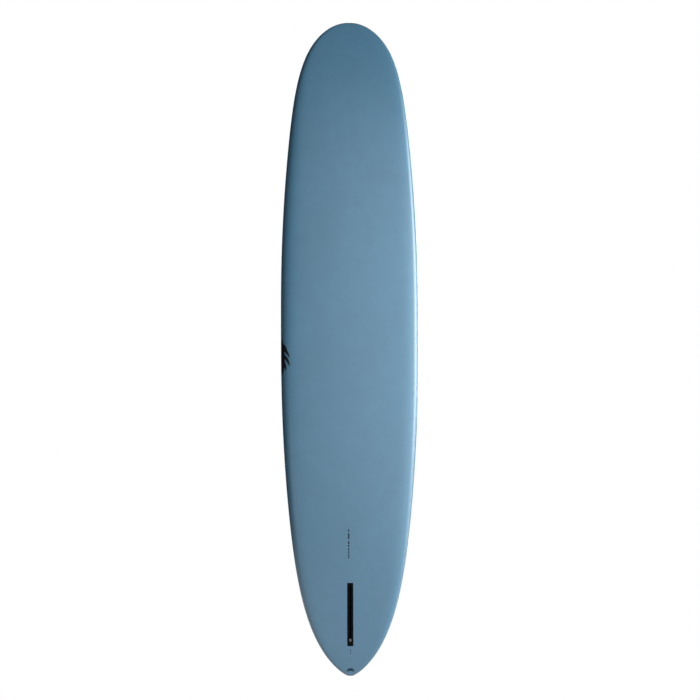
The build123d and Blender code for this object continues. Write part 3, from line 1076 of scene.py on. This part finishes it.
def black_plastic():
    """Moulded fin box plastic, sanded flush, with fine scratches along the board."""
    m = Nodes("fin_box_black")
    dust = m.spread(m.noise(160.0, 3.0, 0.7), 0.35, 0.75, 0.0, 1.0)
    m.colour(m.mix(dust, (0.0008, 0.0009, 0.0012), (0.0032, 0.0035, 0.0042)))
    scratch = m.noise(900.0, 2.0, 0.6, m.stretch(1.0, 1.0, 0.05))
    m.roughness(m.spread(scratch, 0.3, 0.7, 0.42, 0.62))
    m.normal(m.bump(m.math("ADD", scratch, m.noise(1500.0, 1.0)), 0.18, 0.0002))
    m.put(Specular_IOR_Level=0.06)
    return m.material


def steel(name, along, tone):
    """Stainless steel with turning or tumbling marks."""
    m = Nodes(name)
    marks = m.noise(2600.0, 2.0, 0.6, m.stretch(*along))
    stain = m.noise(240.0, 3.0, 0.6)
    m.colour(m.mix(m.spread(stain, 0.3, 0.7, 0.0, 1.0), scaled(tone, 0.82), scaled(tone, 1.06)))
    m.roughness(m.spread(marks, 0.3, 0.7, 0.2, 0.38))
    m.normal(m.bump(marks, 0.2, 0.00008))
    m.put(Metallic=1.0)
    return m.material


def print_black():
    """Black ink on rice tissue, under the gloss."""
    m = Nodes("print_black")
    fibre = m.noise(340.0, 4.0, 0.7, m.stretch(1.0, 1.0, 0.35), 1.5)
    worn = m.spread(fibre, 0.35, 0.75, 0.0, 1.0)
    m.colour(m.mix(worn, (0.0030, 0.0040, 0.0070), (0.010, 0.014, 0.021)))
    m.roughness(m.spread(m.rub(), 0.25, 0.75, 0.36, 0.46))
    m.normal(m.bump(fibre, 0.08, 0.0002))
    m.put(Specular_IOR_Level=0.4, Coat_Weight=0.4, Coat_Roughness=0.16, Coat_IOR=1.5)
    return m.material


def print_grey():
    """Worn dark blue ink on tissue, the tint showing through."""
    m = Nodes("print_dashes")
    worn = m.spread(m.noise(260.0, 4.0, 0.7), 0.42, 0.72, 0.0, 1.0)
    m.colour(m.mix(worn, (0.003, 0.011, 0.022), (0.009, 0.032, 0.058)))
    m.roughness(m.spread(m.rub(), 0.25, 0.75, 0.36, 0.46))
    m.normal(m.bump(worn, 0.06, 0.0002))
    m.put(Specular_IOR_Level=0.25, Coat_Weight=0.15, Coat_Roughness=0.16, Coat_IOR=1.5)
    return m.material


def foam():
    """Shaped blank: fine closed cells and planer marks."""
    m = Nodes("foam_blank")
    pores = m.spread(m.cells(1400.0), 0.0, 0.6, 0.0, 1.0)
    m.colour(m.mix(pores, (0.80, 0.77, 0.66), (0.90, 0.88, 0.80)))
    m.roughness(m.spread(m.noise(60.0), 0.3, 0.7, 0.82, 0.95))
    m.normal(m.bump(m.math("ADD", pores, m.noise(12.0)), 0.25, 0.0004))
    return m.material


def wood():
    """Softwood stringer, its grain along the board."""
    m = Nodes("stringer_wood")
    rings = m.noise(70.0, 5.0, 0.6, m.stretch(1.0, 1.0, 0.03), 1.2)
    pores = m.noise(600.0, 2.0, 0.6, m.stretch(1.0, 1.0, 0.02))
    grain = m.math("ADD", m.math("MULTIPLY", rings, 0.8), m.math("MULTIPLY", pores, 0.2))
    m.colour(m.mix(m.spread(grain, 0.35, 0.65, 0.0, 1.0), (0.33, 0.19, 0.085), (0.60, 0.40, 0.22)))
    m.roughness(m.spread(grain, 0.3, 0.7, 0.5, 0.7))
    m.normal(m.bump(grain, 0.25, 0.0003))
    return m.material


def bedding():
    """Cloudy resin with filler."""
    m = Nodes("bedding_resin")
    cloud = m.noise(90.0, 4.0, 0.6, warp=0.8)
    m.colour(m.mix(m.spread(cloud, 0.3, 0.7, 0.0, 1.0), (0.42, 0.38, 0.27), (0.62, 0.57, 0.44)))
    m.roughness(m.spread(cloud, 0.3, 0.7, 0.3, 0.5))
    m.normal(m.bump(cloud, 0.2, 0.0004))
    return m.material


def dress(piece, material):
    """Gives a piece or a CAD node one material."""
    if piece.data.materials:
        for k in range(len(piece.data.materials)):
            piece.data.materials[k] = material
    else:
        piece.data.materials.append(material)


HULL_GLASS = tinted_glass("hull_glass", scoop=True)
DECK_GLASS = tinted_glass("deck_glass", tone=1.04, pinline=True)
BLACK_PLASTIC = black_plastic()
# the plate and the screw are the same stainless steel as the pin, given far darker tones: painted
# shade of the slot they sit in
PLATE_STEEL_PAINTED_SHADE = steel("plate_steel_painted_shade", (1.0, 1.0, 0.1), (0.20, 0.20, 0.19))
SCREW_STEEL_PAINTED_SHADE = steel("screw_steel_painted_shade", (0.1, 1.0, 1.0), (0.14, 0.14, 0.136))
PIN_STEEL = steel("pin_steel", (0.08, 1.0, 1.0), (0.66, 0.66, 0.64))
PRINT_BLACK = print_black()
PRINT_GREY = print_grey()
FOAM = foam()
WOOD = wood()
BEDDING = bedding()

# ---------------------------------------------------------------- pieces


def place(piece, body, nodes, slot, material):
    dress(piece, material)
    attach(piece, body)
    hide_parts(*nodes)


place(build_hull_skin(), "board", ["bottom_laminate"], "tinted_glass", HULL_GLASS)
place(build_deck_skin(), "board", ["deck_laminate"], "tinted_glass", DECK_GLASS)
place(build_fin_box(), "board", ["fin_box"], "black_plastic", BLACK_PLASTIC)
place(build_fin_plate(), "plate", ["fin_plate"], "steel_plate", PLATE_STEEL_PAINTED_SHADE)
place(build_fin_screw(), "screw", ["fin_screw"], "steel_screw", SCREW_STEEL_PAINTED_SHADE)
place(build_leash_cup(), "board", ["leash_plug_cup"], "black_plastic", BLACK_PLASTIC)
place(build_rail_mark(), "board", ["rail_mark"], "black_print", PRINT_BLACK)
place(build_centre_label(), "board", ["centre_label"], "grey_print", PRINT_GREY)
place(build_tail_label(), "board", ["tail_label"], "grey_print", PRINT_GREY)

KEPT_NODES = {
    "foam_core_left": FOAM,
    "foam_core_right": FOAM,
    "stringer": WOOD,
    "fin_box_bedding": BEDDING,
    "leash_plug_bedding": BEDDING,
    "leash_plug_pin": PIN_STEEL,
}
for node, material in KEPT_NODES.items():
    dress(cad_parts[node], material)

# ---------------------------------------------------------------- studio

ROOM_COLOUR = (0.85, 0.93, 1.0, 1)
ROOM_STRENGTH = 0.006
PAPER_COLOUR = (1, 1, 1, 1)

world = bpy.data.worlds.new("studio")
bpy.context.scene.world = world
world.use_nodes = True
tree = world.node_tree
tree.nodes.clear()
room = tree.nodes.new("ShaderNodeBackground")
room.inputs["Color"].default_value = ROOM_COLOUR
room.inputs["Strength"].default_value = ROOM_STRENGTH
paper = tree.nodes.new("ShaderNodeBackground")
paper.inputs["Color"].default_value = PAPER_COLOUR
paper.inputs["Strength"].default_value = 1.0
seen = tree.nodes.new("ShaderNodeLightPath")
either = tree.nodes.new("ShaderNodeMixShader")
output = tree.nodes.new("ShaderNodeOutputWorld")
tree.links.new(seen.outputs["Is Camera Ray"], either.inputs["Fac"])
tree.links.new(room.outputs["Background"], either.inputs[1])
tree.links.new(paper.outputs["Background"], either.inputs[2])
tree.links.new(either.outputs["Shader"], output.inputs["Surface"])


def softbox(name, at, aim, size, power, colour):
    """A soft rectangular light that isn't seen itself."""
    data = bpy.data.lights.new(name, "AREA")
    data.shape = "RECTANGLE"
    data.size, data.size_y = size
    data.energy = power
    data.color = colour
    light = bpy.data.objects.new(name, data)
    light.location = at
    light.rotation_euler = (Vector(aim) - Vector(at)).to_track_quat("-Z", "Y").to_euler()
    light.visible_camera = False
    bpy.context.scene.collection.objects.link(light)


def round_the_board(angle, distance, height):
    """A place at an angle from the hull's side, positive towards the right."""
    turn = radians(angle)
    return distance * sin(turn), -distance * cos(turn), height


# name, angle, distance, height, size, power
LIGHTS = [
    ("key", 65, 3.0, 1.95, (1.0, 2.3), 98),
    ("key_low", 65, 3.0, 0.4, (1.0, 1.0), 10),
    ("front", 5, 3.0, 1.7, (1.0, 3.4), 14.5),
    ("quarter", 25, 3.0, 1.5, (1.0, 3.0), 19),
    ("cross", 45, 3.0, 1.4, (1.0, 2.6), 10),
    ("fill_low", -25, 3.0, 0.4, (1.0, 1.0), 4),
    ("rim", 89, 2.2, 0.95, (0.3, 1.9), 20),
    ("back", 156, 4.4, 2.4, (2.5, 2.5), 115),
    ("back_fill", 168, 4.2, 1.4, (1.4, 2.6), 45),
    ("side_fill", -155, 4.2, 1.6, (1.2, 2.6), 14),
]
WARM = (1.0, 0.87, 0.77)
WHITE = (1, 1, 1)
for name, angle, distance, height, size, power in LIGHTS:
    at = round_the_board(angle, distance, height)
    softbox(name, at, (0, 0, height), size, power, WARM if name == "rim" else WHITE)


FLOOR_RADIUS = 60
FLOOR_SIDES = 64
# distances in m, and the floor's mirrored brightness at them
FLOOR_MIRROR = (1.4, 3.6, 1.25, 0.0)


def floor():
    """A large pale floor. Only its near part is mirrored in the board's tail."""
    angles = np.arange(FLOOR_SIDES) * 2 * pi / FLOOR_SIDES
    points = [(FLOOR_RADIUS * cos(a), FLOOR_RADIUS * sin(a), 0) for a in angles]
    mesh = bpy.data.meshes.new("floor")
    mesh.from_pydata(points, [], [tuple(range(FLOOR_SIDES))])
    piece = bpy.data.objects.new("floor", mesh)
    bpy.context.scene.collection.objects.link(piece)
    material = bpy.data.materials.new("floor_paper")
    material.use_nodes = True
    tree = material.node_tree
    nodes = tree.nodes
    nodes.clear()
    place = nodes.new("ShaderNodeTexCoord")
    reach = nodes.new("ShaderNodeVectorMath")
    reach.operation = "LENGTH"
    tree.links.new(place.outputs["Object"], reach.inputs[0])
    mirrored = nodes.new("ShaderNodeMapRange")
    set_range(mirrored, *FLOOR_MIRROR)
    tree.links.new(reach.outputs["Value"], mirrored.inputs["Value"])
    path = nodes.new("ShaderNodeLightPath")
    strength = nodes.new("ShaderNodeMix")
    tree.links.new(path.outputs["Is Glossy Ray"], strength.inputs[0])
    strength.inputs[2].default_value = 1.0
    tree.links.new(mirrored.outputs["Result"], strength.inputs[3])
    glow = nodes.new("ShaderNodeEmission")
    tree.links.new(strength.outputs[0], glow.inputs["Strength"])
    out = nodes.new("ShaderNodeOutputMaterial")
    tree.links.new(glow.outputs[0], out.inputs["Surface"])
    mesh.materials.append(material)
    piece.visible_diffuse = False


floor()
bpy.context.scene.view_settings.view_transform = "Standard"
